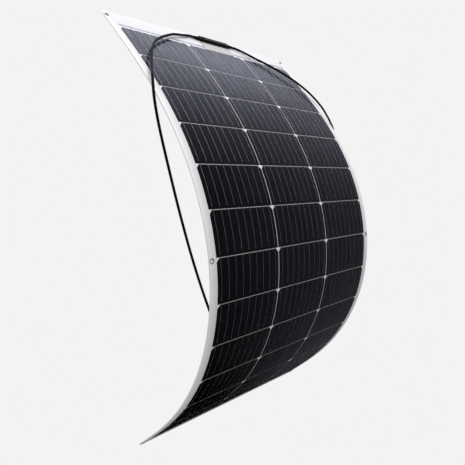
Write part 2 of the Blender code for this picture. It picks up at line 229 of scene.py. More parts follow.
# %% [markdown]
# ## The two leads
# Each lead leaves its end of the box, comes round the side of the sheet, hangs behind it and meets
# the other in a connector. A cable is a curve with a round bevel: the points say where its middle
# runs, and Blender skins it. The points are those that the engineering model was made from, with a
# Catmull-Rom curve through them, which passes through each point and has no kinks.

# %% The leads' routes
LEAD_DIAMETER = 0.005
LEAD_POINTS = 241
STEPS_A_SPAN = 24
LEFT_ROUTE = (
    (-0.0451, 0.0280, 0.0425), (-0.060, 0.0275, 0.042), (-0.083, 0.0215, 0.0365),
    (-0.110, 0.015, 0.0305), (-0.134, 0.0055, 0.0205), (-0.157, -0.005, 0.0095),
    (-0.183, -0.0195, -0.006), (-0.202, -0.0345, -0.0235), (-0.218, -0.0495, -0.042),
    (-0.231, -0.0645, -0.0615), (-0.244, -0.080, -0.0815), (-0.257, -0.097, -0.105),
    (-0.2625, -0.1035, -0.142), (-0.257, -0.102, -0.190), (-0.245, -0.1015, -0.264),
    (-0.2315, -0.1015, -0.3395), (-0.216, -0.102, -0.415), (-0.197, -0.1025, -0.4895),
    (-0.174, -0.103, -0.563), (-0.150, -0.1035, -0.6215), (-0.129, -0.098, -0.661),
    (-0.1075, -0.079, -0.688), (-0.091, -0.062, -0.703), (-0.077, -0.0475, -0.7125),
    (-0.0645, -0.0385, -0.718), (-0.0503, -0.037, -0.719))
RIGHT_ROUTE = (
    (0.0691, 0.028, 0.0425), (0.083, 0.0275, 0.042), (0.104, 0.020, 0.0345),
    (0.128, 0.0095, 0.0235), (0.158, -0.0015, 0.012), (0.186, -0.016, -0.0035),
    (0.212, -0.0305, -0.020), (0.232, -0.0465, -0.0395), (0.245, -0.0605, -0.058),
    (0.253, -0.0745, -0.0775), (0.2585, -0.087, -0.097), (0.2605, -0.098, -0.1175),
    (0.2605, -0.1085, -0.1385), (0.261, -0.115, -0.163), (0.255, -0.1125, -0.2255),
    (0.245, -0.1115, -0.285), (0.231, -0.1115, -0.3585), (0.214, -0.111, -0.437),
    (0.1935, -0.1105, -0.514), (0.1715, -0.110, -0.5805), (0.148, -0.1075, -0.6355),
    (0.123, -0.090, -0.674), (0.105, -0.0745, -0.6925), (0.0875, -0.0605, -0.7045),
    (0.073, -0.0475, -0.713), (0.0605, -0.0385, -0.718), (0.0463, -0.037, -0.719))


def smooth_route(points, count):
    """Evenly spaced points on a Catmull-Rom curve through a lead's own points, and its length."""
    route = [Vector(point) for point in points]
    route = [2 * route[0] - route[1], *route, 2 * route[-1] - route[-2]]
    dense = []
    for a, b, c, d in zip(route, route[1:], route[2:], route[3:]):
        for step in range(STEPS_A_SPAN):
            t = step / STEPS_A_SPAN
            dense.append(0.5 * (2 * b + (c - a) * t + (2 * a - 5 * b + 4 * c - d) * t ** 2
                                + (3 * b - a - 3 * c + d) * t ** 3))
    dense.append(route[-2])
    lengths = [0.0]
    for first, second in zip(dense, dense[1:]):
        lengths.append(lengths[-1] + (second - first).length)
    even, place = [], 0
    for index in range(count):
        want = lengths[-1] * index / (count - 1)
        while place < len(dense) - 2 and lengths[place + 1] < want:
            place += 1
        share = (want - lengths[place]) / (lengths[place + 1] - lengths[place])
        even.append(dense[place].lerp(dense[place + 1], share))
    return even, lengths[-1]


# %% The leads themselves
def make_lead(name, route):
    """A lead along its route, and its length."""
    curve = bpy.data.curves.new(name, "CURVE")
    curve.dimensions = "3D"
    curve.bevel_depth = LEAD_DIAMETER / 2
    curve.bevel_resolution = 5
    curve.use_fill_caps = True
    spline = curve.splines.new("POLY")
    points, length = smooth_route(route, LEAD_POINTS)
    spline.points.add(len(points) - 1)
    for spot, point in zip(spline.points, points):
        spot.co = (*point, 1.0)
    spline.use_smooth = True
    curve.materials.append(jacket_finish)
    print(name, "is", round(length, 4), "m long")
    return link_object(name, curve), length


left_lead, left_length = make_lead("left_lead", LEFT_ROUTE)
right_lead, right_length = make_lead("right_lead", RIGHT_ROUTE)

# %% [markdown]
# ## The line that the sheet follows
# The engineering model is a chain of flat bands, one to a row of cells, that turn on the lines
# between them. A real laminate can't kink, so what is seen is a smooth curve. A quadratic Bezier
# from one band's middle to the next band's middle, with the line between them as its control
# point, touches both bands and turns by the same angle, and neighbouring pieces meet smoothly.

# %% The flat sheet's sizes
ROWS = 12
COLUMNS = 3
CELL_WIDTH = 0.15875
CELL_LENGTH = 0.079375
CELL_GAP = 0.002
CELL_CORNER = 0.0065
PITCH = CELL_LENGTH + CELL_GAP
COLUMN_PITCH = CELL_WIDTH + CELL_GAP
HALF_CELLS = (COLUMNS * COLUMN_PITCH - CELL_GAP) / 2
SIDE_MARGIN = 0.0165
TOP_MARGIN = 0.048
BOTTOM_MARGIN = 0.0345
HALF_WIDTH = HALF_CELLS + SIDE_MARGIN
SHEET_TOP = CELL_GAP / 2 - TOP_MARGIN
SHEET_BOTTOM = ROWS * PITCH - CELL_GAP / 2 + BOTTOM_MARGIN
THICKNESS = 0.0025
FRONT = THICKNESS / 2
print("flat sheet", round(2 * HALF_WIDTH, 4), "by", round(SHEET_BOTTOM - SHEET_TOP, 4), "m")

# %% From the flat sheet to its curl
TOP_LEAN = 40.0
LINE_BENDS = (3.3, 5.1, 7.0, 8.8, 10.3, 11.4, 12.2, 12.0, 11.3, 9.4, 6.4)


def down_way(lean):
    """The way down a band that leans back by an angle in degrees."""
    return Vector((0, -sin(radians(lean)), -cos(radians(lean))))


leans = [TOP_LEAN - sum(LINE_BENDS[:row]) for row in range(ROWS)]
anchors = {joint["name"]: Vector(joint["pos_m"]) for joint in frame["joints"]}
lines = [anchors[f"bend_{row:02d}"] for row in range(1, ROWS)]
lines.insert(0, lines[0] - PITCH * down_way(leans[0]))
middles = [line + PITCH / 2 * down_way(lean) for line, lean in zip(lines, leans)]


def sheet_place(x, down, height):
    """A point of the curled sheet.

    x is across it, down is measured along it from the first line, and height is above the middle
    of its thickness, to the front.
    """
    strip = floor(down / PITCH - 0.5)
    if strip < 0 or strip >= ROWS - 1:
        row = 0 if strip < 0 else ROWS - 1
        along = down_way(leans[row])
        middle = lines[row] + (down - row * PITCH) * along
    else:
        t = down / PITCH - 0.5 - strip
        start, line, end = middles[strip], lines[strip + 1], middles[strip + 1]
        middle = (1 - t) ** 2 * start + 2 * t * (1 - t) * line + t ** 2 * end
        along = ((1 - t) * (line - start) + t * (end - line)).normalized()
    front = Vector((0, along.z, -along.y))
    return Vector((x, 0, 0)) + middle + height * front


print("last line", [round(value, 4) for value in lines[-1]], "last lean", round(leans[-1], 1))

# %% [markdown]
# ## Where one strip ends and the next begins
# A piece can bend between two bodies only, so the sheet is shown as a rigid top end, eleven strips
# that each run from the middle of one band to the middle of the next, and a rigid bottom end. Each
# layer is drawn flat, cut into these strips and then laid along the curve. The cuts lie where the
# bands are flat, so the strips still meet edge to edge when the sheet is bent another way.

# %% The strips, and how a flat layer is cut and curled
STRIP_STEPS = 24
SEAM_STEP = 0.0002
WELD = 1e-7
UV_PER_METRE = 10
UV_ASIDE = 10.0
BACK_BELOW = 0.0009


def strip_span(strip):
    """From where to where a strip runs, down the flat sheet. The ends are strips 0 and 12."""
    top = SHEET_TOP if strip == 0 else (strip - 0.5) * PITCH
    bottom = SHEET_BOTTOM if strip == ROWS else (strip + 0.5) * PITCH
    return top, bottom


def strip_label(strip):
    """How the names of a strip's pieces end."""
    return {0: "top", ROWS: "bottom"}.get(strip, f"{strip:02d}")


def slice_places(top, bottom):
    """Where a strip is sliced so that it can curl, with a thin slice next to each seam."""
    even = [top + (bottom - top) * step / STRIP_STEPS for step in range(1, STRIP_STEPS)]
    return [top + SEAM_STEP, *even, bottom - SEAM_STEP]


def lay_on_curve(shape):
    """Moves a flat layer's points, (across, down, height), to their places on the curl.

    Each corner's place on the flat sheet is first kept as its UV, in decimetres. The back gets a
    place a metre to the side, so that a pattern on the front doesn't show there.
    """
    layer = shape.loops.layers.uv.new("flat")
    for face in shape.faces:
        aside = UV_ASIDE if face.calc_center_median().z < BACK_BELOW else 0.0
        for loop in face.loops:
            spot = loop.vert.co
            loop[layer].uv = (spot.x * UV_PER_METRE + aside, spot.y * UV_PER_METRE)
    for vert in shape.verts:
        vert.co = sheet_place(*vert.co)


def slice_and_curl(shape, strip):
    """Slices a flat layer across, and lays it on the curl."""
    for place in slice_places(*strip_span(strip)):
        parts = shape.verts[:] + shape.edges[:] + shape.faces[:]
        bmesh.ops.bisect_plane(shape, geom=parts, dist=WELD, plane_co=(0, place, 0),
                               plane_no=(0, 1, 0))
    lay_on_curve(shape)


# %% From a shape to a piece
def add_plate(shape, outline, low, high):
    """A plate of the flat sheet, from its outline in (across, down) and two heights."""
    face = shape.faces.new([shape.verts.new((x, down, low)) for x, down in outline])
    lifted = bmesh.ops.extrude_face_region(shape, geom=[face])
    tops = [item for item in lifted["geom"] if isinstance(item, bmesh.types.BMVert)]
    bmesh.ops.translate(shape, verts=tops, vec=(0, 0, high - low))
    return shape


def finish_shape(name, shape, finish, sharp=35):
    """An object made of a shape, smooth but for the edges that turn by more than an angle."""
    bmesh.ops.remove_doubles(shape, verts=shape.verts, dist=WELD)
    bmesh.ops.recalc_face_normals(shape, faces=shape.faces)
    mesh = bpy.data.meshes.new(name)
    shape.to_mesh(mesh)
    shape.free()
    mesh.shade_smooth()
    mesh.set_sharp_from_angle(angle=radians(sharp))
    mesh.materials.append(finish)
    return link_object(name, mesh)


def subtract(shape, cutter_shape):
    """One shape minus another, by a Boolean on throwaway objects."""
    body = finish_shape("cut_body", shape, plastic_finish)
    cutter = finish_shape("cut_tool", cutter_shape, plastic_finish)
    cut = body.modifiers.new("cut", "BOOLEAN")
    cut.operation = "DIFFERENCE"
    cut.solver = "EXACT"
    cut.object = cutter
    result = bmesh.new()
    result.from_mesh(body.evaluated_get(bpy.context.evaluated_depsgraph_get()).to_mesh())
    for used in (body, cutter):
        bpy.data.objects.remove(used)
    return result


def settle(piece, slot, strip, *replaced):
    """Says what a piece moves with and which solids it is shown instead of. The slot is not used.

    A strip between two bands only has its place baked into its points. The ends, and what sits on
    them, are rigid.
    """
    if strip in (0, ROWS):
        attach(piece, "band_01" if strip == 0 else f"band_{ROWS}")
    else:
        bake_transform(piece)
    if replaced:
        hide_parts(*replaced)
    return piece


def place_on_sheet(name, shape, finish, slot, strip, *replaced, sharp=35):
    """Lays a piece that is drawn on the flat sheet on the curl, and has it move with a strip."""
    lay_on_curve(shape)
    return settle(finish_shape(name, shape, finish, sharp), slot, strip, *replaced)


print("strips", ROWS + 1, "the longest is", round(PITCH * 1000, 1), "mm")

# %% [markdown]
# ## The finish of the white laminate
# The white parts are a polyester back sheet seen through a thin, slightly hammered film. The film
# isn't a separate see-through mesh here: a clear coat on each layer below it gives the same gloss,
# renders cleanly and survives export. The hammered look is a Voronoi pattern in the coat's normal,
# measured on the flat sheet, so that it keeps its size and direction along the whole curl. The
# white is painted greyer on the margins close to the cells and in the gaps between the rows. This
# shade is an artist's choice, made by the place on the flat sheet, and isn't worked out from light.

# %% Patterns on the flat sheet
HAMMER_CELLS = 900.0
SWELLS = 25.0
SWELL_SHARE = 4.0
RIPPLES_ACROSS = 200.0
RIPPLES_DOWN = 14.0
FILM_RELIEF = (0.12, 0.0003)


def flat_place(tree):
    """A place on the flat sheet in metres, from the piece's own UV map."""
    spot = add_node(tree, "ShaderNodeUVMap", {"uv_map": "flat"})
    return add_node(tree, "ShaderNodeVectorMath", {"operation": "SCALE"},
                    Vector=spot.outputs["UV"], Scale=1 / UV_PER_METRE).outputs[0]


def across_and_down(tree, place):
    """The two parts of a place on the flat sheet."""
    split = add_node(tree, "ShaderNodeSeparateXYZ", Vector=place)
    return split.outputs[0], split.outputs[1]


def hammered(tree, vector):
    """The height of the film's fine cells, about a millimetre across."""
    cells = add_node(tree, "ShaderNodeTexVoronoi", {"feature": "SMOOTH_F1"}, Vector=vector,
                     Scale=HAMMER_CELLS)
    swell = math_node(tree, "MULTIPLY", noise(tree, vector, SWELLS, 2.0), SWELL_SHARE)
    return math_node(tree, "ADD", cells.outputs["Distance"], swell)


def draped(tree, across, down):
    """The height of faint ripples along the sheet, where the film drapes over the wires."""
    long_place = add_node(tree, "ShaderNodeCombineXYZ",
                          X=math_node(tree, "MULTIPLY", across, RIPPLES_ACROSS),
                          Y=math_node(tree, "MULTIPLY", down, RIPPLES_DOWN))
    return noise(tree, long_place.outputs[0], 1.0, 2.0)


def near_line(tree, value, pitch, reach):
    """1 near lines that repeat at a pitch, and 0 further away than the reach."""
    turns = math_node(tree, "FRACT", math_node(tree, "ADD", math_node(
        tree, "DIVIDE", value, pitch), 0.5))
    away = math_node(tree, "ABSOLUTE", math_node(tree, "SUBTRACT", turns, 0.5))
    return math_node(tree, "LESS_THAN", away, reach / pitch)


def between_rows(tree, across, down):
    """1 in the gaps between the rows, and 0 in the cells' white corners and everywhere else."""
    corner = near_line(tree, math_node(tree, "ADD", across, COLUMN_PITCH / 2), COLUMN_PITCH,
                       CELL_CORNER)
    share = math_node(tree, "MULTIPLY", near_line(tree, down, PITCH, CELL_GAP),
                      math_node(tree, "SUBTRACT", 1.0, corner))
    from_centre = math_node(tree, "SUBTRACT", down, ROWS / 2 * PITCH)
    for distance, limit in ((across, HALF_CELLS), (from_centre, (ROWS / 2 - 0.5) * PITCH)):
        inside = math_node(tree, "LESS_THAN", math_node(tree, "ABSOLUTE", distance), limit)
        share = math_node(tree, "MULTIPLY", share, inside)
    return share


print("patterns ready")

# %% The white laminate
MARGIN_SHADE = 0.6
GAP_SHADE = 0.8

white_finish, tree, shader = new_finish("white_laminate", (0.80, 0.80, 0.81), 0.45,
                                        Coat_Weight=0.5, Coat_Roughness=0.24, Coat_IOR=1.35)
place = flat_place(tree)
across, down = across_and_down(tree, place)
cloud = noise(tree, place, 14.0, 4.0, 0.55)
speck = noise(tree, place, 700.0, 2.0, 0.6)
tone = mix_colour(tree, spread(tree, cloud, 0.35, 0.7, 0.0, 1.0), (0.82, 0.82, 0.825),
                  (0.76, 0.76, 0.77))
tone = mix_colour(tree, spread(tree, speck, 0.62, 0.75, 0.0, 0.35), tone, (0.60, 0.60, 0.61))
beside = spread(tree, math_node(tree, "ABSOLUTE", across), HALF_CELLS + 0.003,
                HALF_WIDTH - 0.001, 1.0, 0.0)
tone = mix_colour(tree, math_node(tree, "MULTIPLY", beside, MARGIN_SHADE), tone,
                  (0.52, 0.52, 0.525))
gaps = between_rows(tree, across, down)
tone = mix_colour(tree, math_node(tree, "MULTIPLY", gaps, GAP_SHADE), tone, (0.30, 0.30, 0.305))
feed(tree, shader, Base_Color=tone, Roughness=spread(tree, cloud, 0.3, 0.7, 0.38, 0.52),
     Coat_Normal=bump(tree, hammered(tree, place), *FILM_RELIEF),
     Normal=bump(tree, speck, 0.15, 0.00005))
print("finish", white_finish.name)

# %% [markdown]
# ## The white laminate itself
# Back sheet and film end together in one edge 2.5 mm thick with rounded corners, and six eyelet
# holes go through them. A flat plate with its holes cut first is far easier than cutting a curved
# one: the holes are Booleans on the flat plate, and they curl with it. The long edges are rounded
# over a little, because a trimmed laminate never has a knife-sharp edge.

# %% Sizes of the corners and the holes
SHEET_CORNER = 0.012
CORNER_STEPS = 10
EYELET_BARREL = 0.00325
EYELET_FROM_SIDE = 0.0062
EYELET_FROM_END = 0.0135
EYELET_PAST_LINE = 0.003
EYELET_X = HALF_WIDTH - EYELET_FROM_SIDE
EYELET_DOWNS = {0: SHEET_TOP + EYELET_FROM_END, 6: 6 * PITCH + EYELET_PAST_LINE,
                ROWS: SHEET_BOTTOM - EYELET_FROM_END}
HOLE_SIDES = 40
EDGE_ROUND = 0.0005


def corner_points(x, down, start):
    """A quarter of a circle round a point, from an angle in degrees on."""
    turns = [radians(start + 90 / CORNER_STEPS * step) for step in range(CORNER_STEPS + 1)]
    return [(x + SHEET_CORNER * cos(turn), down + SHEET_CORNER * sin(turn)) for turn in turns]


def laminate_outline(strip):
    """A strip's outline in (across, down), with round corners at the two ends of the sheet."""
    top, bottom = strip_span(strip)
    inner = HALF_WIDTH - SHEET_CORNER
    upper = [(-HALF_WIDTH, top), (HALF_WIDTH, top)]
    lower = [(HALF_WIDTH, bottom), (-HALF_WIDTH, bottom)]
    if strip == 0:
        upper = corner_points(-inner, top + SHEET_CORNER, 180)
        upper += corner_points(inner, top + SHEET_CORNER, 270)
    if strip == ROWS:
        lower = corner_points(inner, bottom - SHEET_CORNER, 0)
        lower += corner_points(-inner, bottom - SHEET_CORNER, 90)
    return upper + lower


# %% Cutting and curling the laminate
def round_edges(shape, strip):
    """Bevels the plate's outer rim, but not the seams where it meets its neighbours."""
    top, bottom = strip_span(strip)
    seams = [place for place, outer in ((top, strip == 0), (bottom, strip == ROWS)) if not outer]

    def is_rim(edge):
        first, second = (vert.co for vert in edge.verts)
        along_seam = abs(first.y - second.y) < WELD and any(
            abs(first.y - seam) < WELD for seam in seams)
        return abs(first.z - second.z) < WELD and not along_seam

    rim = [edge for edge in shape.edges if is_rim(edge)]
    bmesh.ops.bevel(shape, geom=rim, offset=EDGE_ROUND, segments=3, profile=0.5,
                    affect="EDGES", clamp_overlap=True)


def hole_drill(strip):
    """Two rods through a strip's eyelet holes."""
    drill = bmesh.new()
    for side in (-1, 1):
        turns = [2 * pi * step / HOLE_SIDES for step in range(HOLE_SIDES)]
        outline = [(side * EYELET_X + EYELET_BARREL * cos(turn),
                    EYELET_DOWNS[strip] + EYELET_BARREL * sin(turn)) for turn in turns]
        add_plate(drill, outline, -THICKNESS, THICKNESS)
    return drill


def make_laminate(strip):
    """A strip of the back sheet and film, with its eyelet holes."""
    shape = add_plate(bmesh.new(), laminate_outline(strip), -FRONT, FRONT)
    round_edges(shape, strip)
    if strip in EYELET_DOWNS:
        shape = subtract(shape, hole_drill(strip))
    slice_and_curl(shape, strip)
    piece = finish_shape("laminate_" + strip_label(strip), shape, white_finish, sharp=50)
    layers = [f"{layer}_{strip:02d}" for layer in ("back_sheet", "front_film") if strip]
    return settle(piece, "white_sheet", strip, *layers)


laminates = [make_laminate(strip) for strip in range(ROWS + 1)]
print("laminate", sum(len(piece.data.polygons) for piece in laminates), "faces")

# %% [markdown]
# ## The finish of the cells
# A monocrystalline cell is nearly black, with a blue or violet cast that differs a little from
# cell to cell, because the coating's thickness does. Printed silver fingers, about as fine as a
# hair, cross it every millimetre and a half. Colour by cell comes from White Noise on the cell's
# own number, and the fingers are a wave made with Math nodes from the place on the flat sheet.
# The film over the cells gleams in streaks along the sheet. Its ripples only turn the gleam by a
# little, so the weight of the coat is varied along with them, which is a painter's shortcut.

# %% The black cells
FINGER_PITCH = 0.0015
FINGER_SHARE = 0.05
RIPPLE_SHARE = 14.0


def every(tree, value, pitch, share):
    """1 on lines that repeat at a pitch and take up a share of it, and 0 between them."""
    turns = math_node(tree, "FRACT", math_node(tree, "DIVIDE", value, pitch))
    return math_node(tree, "LESS_THAN", turns, share)


cell_finish, tree, shader = new_finish("black_cells", (0.002, 0.002, 0.003), 0.35,
                                       Specular_IOR_Level=0.1, Coat_Weight=0.8,
                                       Coat_Roughness=0.15, Coat_IOR=1.45)
place = flat_place(tree)
across, down = across_and_down(tree, place)
column = math_node(tree, "FLOOR", math_node(
    tree, "DIVIDE", math_node(tree, "ADD", across, HALF_CELLS + CELL_GAP / 2), COLUMN_PITCH))
row = math_node(tree, "FLOOR", math_node(tree, "DIVIDE", down, PITCH))
number = math_node(tree, "ADD", math_node(tree, "MULTIPLY", row, float(COLUMNS)), column)
pick = add_node(tree, "ShaderNodeTexWhiteNoise", {"noise_dimensions": "1D"}, W=number)
tint = mix_colour(tree, pick.outputs["Value"], (0.0016, 0.0012, 0.0034), (0.0026, 0.0024, 0.0034))
cloud = noise(tree, place, 30.0)
tint = mix_colour(tree, spread(tree, cloud, 0.4, 0.7, 0.0, 0.6), tint, (0.0034, 0.0030, 0.0056))
fingers = every(tree, down, FINGER_PITCH, FINGER_SHARE)
tint = mix_colour(tree, math_node(tree, "MULTIPLY", fingers, 0.8), tint, (0.04, 0.04, 0.045))
streaks = draped(tree, across, down)
ripples = math_node(tree, "MULTIPLY", streaks, RIPPLE_SHARE)
relief = math_node(tree, "ADD", hammered(tree, place), ripples)
feed(tree, shader, Base_Color=tint, Roughness=spread(tree, cloud, 0.3, 0.7, 0.30, 0.42),
     Coat_Weight=spread(tree, streaks, 0.36, 0.64, 0.55, 1.0),
     Coat_Normal=bump(tree, relief, *FILM_RELIEF))
print("finish", cell_finish.name, "fingers every", FINGER_PITCH * 1000, "mm")

# %% [markdown]
# ## The cells themselves
# A half-cut cell is a pseudo-square wafer sawn in two, so only its two upper corners keep the
# wafer's chamfers, and four cells meet at a small white triangle. Each cell is a thin plate that
# stands a few hundredths of a millimetre proud of the white, as the film drapes over it. The gaps
# are drawn 1.3 mm wide where the engineering model has 2 mm, because a thin bright line between
# two black plates looks wider than it is.

# %% Cutting and curling the cells
SHOWN_GAP = 0.0013
GAP_TRIM = (CELL_GAP - SHOWN_GAP) / 2
CELL_UNDER = FRONT - 0.0003
CELL_OVER = FRONT + 0.00005


def cell_outlines(strip):
    """What a strip shows of the cells: the row above's lower half, and its own row's upper."""
    top, bottom = strip_span(strip)
    outlines = []
    for column in range(COLUMNS):
        left = column * COLUMN_PITCH - HALF_CELLS - GAP_TRIM
        right = left + CELL_WIDTH + 2 * GAP_TRIM
        if strip > 0:
            end = strip * PITCH - SHOWN_GAP / 2
            outlines.append([(left, top), (right, top), (right, end), (left, end)])
        if strip < ROWS:
            start = strip * PITCH + SHOWN_GAP / 2
            outlines.append([
                (left, start + CELL_CORNER), (left + CELL_CORNER, start),
                (right - CELL_CORNER, start), (right, start + CELL_CORNER),
                (right, bottom), (left, bottom)])
    return outlines


def make_cells(strip):
    """The halves of two rows of cells that a strip shows."""
    shape = bmesh.new()
    for outline in cell_outlines(strip):
        add_plate(shape, outline, CELL_UNDER, CELL_OVER)
    slice_and_curl(shape, strip)
    piece = finish_shape("cells_" + strip_label(strip), shape, cell_finish)
    rows = [f"cell_row_{strip:02d}"] if strip else []
    return settle(piece, "black_cell", strip, *rows)


cells = [make_cells(strip) for strip in range(ROWS + 1)]
print("cells", sum(len(piece.data.polygons) for piece in cells), "faces")

# %% [markdown]
# ## The wires on the cells
# Nine thin tinned wires run down each cell. Each comes up from behind the cell above, through the
# gap between the rows, and stops a few millimetres short of the far edge. They are drawn 0.7 mm
# thick, thicker than real ones, so that they still show from a metre away. There are more than
# three hundred, all alike, so Geometry Nodes repeat them: one wire's path down a strip is a
# curve, it is put on nine points across a cell and on three columns of those, and each gets a
# small round profile.

# %% The wires' finish
wire_finish, tree, shader = new_finish("tinned_wire", (0.70, 0.70, 0.72), 0.4, metallic=0.9)
dull = noise(tree, object_place(tree), 90.0, 3.0, 0.6)
mottle(tree, shader, dull, ((0.85, 0.85, 0.87), (0.62, 0.62, 0.64)), (0.28, 0.45))
print("finish", wire_finish.name)


# %% The ends that every tree of geometry nodes has
def new_tree(name, *inputs):
    """A tree with a geometry, some named inputs of given kinds, and a finish. And its inputs."""
    tree = bpy.data.node_groups.new(name, "GeometryNodeTree")
    for label, kind in (("Geometry", "Geometry"), *inputs, ("Finish", "Material")):
        tree.interface.new_socket(label, in_out="INPUT", socket_type="NodeSocket" + kind)
    tree.interface.new_socket("Geometry", in_out="OUTPUT", socket_type="NodeSocketGeometry")
    return tree, tree.nodes.new("NodeGroupInput").outputs


def end_tree(tree, given, geometry):
    """Makes the copies real, gives them the finish and hands them out."""
    real = add_node(tree, "GeometryNodeRealizeInstances", Geometry=geometry)
    finished = add_node(tree, "GeometryNodeSetMaterial", Geometry=real.outputs[0],
                        Material=given["Finish"])
    add_node(tree, "NodeGroupOutput", Geometry=finished.outputs[0])
    print("tree", tree.name, "with", len(tree.nodes), "nodes")
    return tree


def grow(name, data, tree, finish, **inputs):
    """Runs a tree on some data and returns the result as a plain mesh object."""
    seed = link_object(name + "_path", data)
    modifier = seed.modifiers.new("grow", "NODES")
    modifier.node_group = tree
    wanted = {label.replace("_", " "): value for label, value in inputs.items()}
    wanted["Finish"] = finish
    for item in tree.interface.items_tree:
        if item.in_out == "INPUT" and item.name in wanted:
            modifier[item.identifier] = wanted[item.name]
    grown = bpy.data.meshes.new_from_object(
        seed.evaluated_get(bpy.context.evaluated_depsgraph_get()))
    bpy.data.objects.remove(seed)
    grown.materials.clear()
    grown.materials.append(finish)
    grown.shade_smooth()
    grown.set_sharp_from_angle(angle=radians(50))
    return link_object(name, grown)


# %% A tree that repeats a path across the sheet
def repeat_tree():
    """Copies a path to evenly spaced places across each column, and makes wires of the copies."""
    tree, given = new_tree(
        "wires_across", ("Wires to a cell", "Int"), ("Wire spacing", "Float"), ("Columns", "Int"),
        ("Column spacing", "Float"), ("First wire", "Float"), ("Wire radius", "Float"))

    def along_x(distance):
        return add_node(tree, "ShaderNodeCombineXYZ", X=given[distance]).outputs[0]

    def put_in_line(copies, count, spacing, **start):
        line = add_node(tree, "GeometryNodeMeshLine", Count=given[count],
                        Offset=along_x(spacing), **start)
        return add_node(tree, "GeometryNodeInstanceOnPoints", Points=line.outputs["Mesh"],
                        Instance=copies).outputs["Instances"]

    one_cell = put_in_line(given["Geometry"], "Wires to a cell", "Wire spacing",
                           Start_Location=along_x("First wire"))
    paths = add_node(tree, "GeometryNodeRealizeInstances",
                     Geometry=put_in_line(one_cell, "Columns", "Column spacing"))
    profile = add_node(tree, "GeometryNodeCurvePrimitiveCircle", Resolution=8,
                       Radius=given["Wire radius"])
    skin = add_node(tree, "GeometryNodeCurveToMesh", Fill_Caps=True, Curve=paths.outputs[0],
                    Profile_Curve=profile.outputs["Curve"])
    return end_tree(tree, given, skin.outputs["Mesh"])


wires_across = repeat_tree()

# %% The wires' paths and the wires
WIRES = 9
WIRE_PITCH = CELL_WIDTH / WIRES
WIRE_RADIUS = 0.00034
WIRE_HEIGHT = CELL_OVER + 0.5 * WIRE_RADIUS
WIRE_STOP = 0.005
WIRE_STEP = 0.004
RIBBON_SETBACK = 0.008


def add_path(curve, start, end):
    """A path down the sheet's middle line, near its front face."""
    count = max(2, round((end - start) / WIRE_STEP))
    spline = curve.splines.new("POLY")
    spline.points.add(count)
    for step, spot in enumerate(spline.points):
        spot.co = (*sheet_place(0, start + (end - start) * step / count, WIRE_HEIGHT), 1.0)


def make_wires(strip):
    """The lower part of the wires of the row above, and the upper part of its own row's."""
    top, bottom = strip_span(strip)
    curve = bpy.data.curves.new("wires", "CURVE")
    curve.dimensions = "3D"
    row_end = strip * PITCH - CELL_GAP / 2
    if strip > 0:
        add_path(curve, top, row_end - WIRE_STOP)
    if strip == ROWS:
        add_path(curve, row_end, row_end + RIBBON_SETBACK)
    else:
        above = RIBBON_SETBACK if strip == 0 else 0
        add_path(curve, row_end - above, bottom)
    piece = grow("wires_" + strip_label(strip), curve, wires_across, wire_finish,
                 Wires_to_a_cell=WIRES, Wire_spacing=WIRE_PITCH, Columns=COLUMNS,
                 Column_spacing=COLUMN_PITCH, First_wire=WIRE_PITCH / 2 - HALF_CELLS,
                 Wire_radius=WIRE_RADIUS)
    return settle(piece, "tinned_ribbon", strip)


wires = [make_wires(strip) for strip in range(ROWS + 1)]
print("wires", sum(len(piece.data.polygons) for piece in wires), "faces")

# %% [markdown]
# ## The ribbons that gather the current
# Across each end of the sheet the wires meet a flat tinned ribbon, and the three strings of cells
# are joined end to end there. They are flat strips, so each is a plate of the flat sheet like the
# cells, a touch thinner.

# %% The ribbons
RIBBON_WIDTH = 0.005
RIBBON_OVER = FRONT + 0.00012
TOP_RIBBON = CELL_GAP / 2 - RIBBON_SETBACK
BOTTOM_RIBBON = ROWS * PITCH - CELL_GAP / 2 + RIBBON_SETBACK

ribbon_finish, tree, shader = new_finish("tinned_ribbon", (0.50, 0.51, 0.53), 0.4, metallic=0.8)
streak = add_node(tree, "ShaderNodeMapping", Scale=(1.0, 12.0, 12.0), Vector=object_place(tree))
drawn = noise(tree, streak.outputs[0], 60.0, 4.0, 0.6)
mottle(tree, shader, drawn, ((0.44, 0.45, 0.47), (0.62, 0.63, 0.64)), (0.30, 0.50))
feed(tree, shader, Normal=bump(tree, drawn, 0.2, 0.00005))


def make_ribbon(name, strip, first, last, middle, *replaced):
    """A ribbon at a place down the sheet, across a run of columns."""
    left = first * COLUMN_PITCH - HALF_CELLS
    right = last * COLUMN_PITCH - HALF_CELLS + CELL_WIDTH
    top, bottom = middle - RIBBON_WIDTH / 2, middle + RIBBON_WIDTH / 2
    shape = add_plate(bmesh.new(), [(left, top), (right, top), (right, bottom), (left, bottom)],
                      CELL_UNDER, RIBBON_OVER)
    place_on_sheet(name, shape, ribbon_finish, "tinned_ribbon", strip, *replaced)


make_ribbon("ribbon_top_joined", 0, 1, 2, TOP_RIBBON, "bus_ribbon_top")
make_ribbon("ribbon_top_single", 0, 0, 0, TOP_RIBBON)
make_ribbon("ribbon_bottom_joined", ROWS, 0, 1, BOTTOM_RIBBON, "bus_ribbon_bottom")
make_ribbon("ribbon_bottom_single", ROWS, 2, 2, BOTTOM_RIBBON)
print("ribbons at", round(TOP_RIBBON, 4), "and", round(BOTTOM_RIBBON, 4), "m down")

# %% [markdown]
# ## Turned pieces and rounded plates
# Eyelets, boots, nuts and connector bodies are all turned shapes: a profile swept round an axis.
# Blender has a Screw modifier and a Spin operator for that, but rings of points joined by faces
# can be placed anywhere in the same step, even on the curled sheet, and close up cleanly.

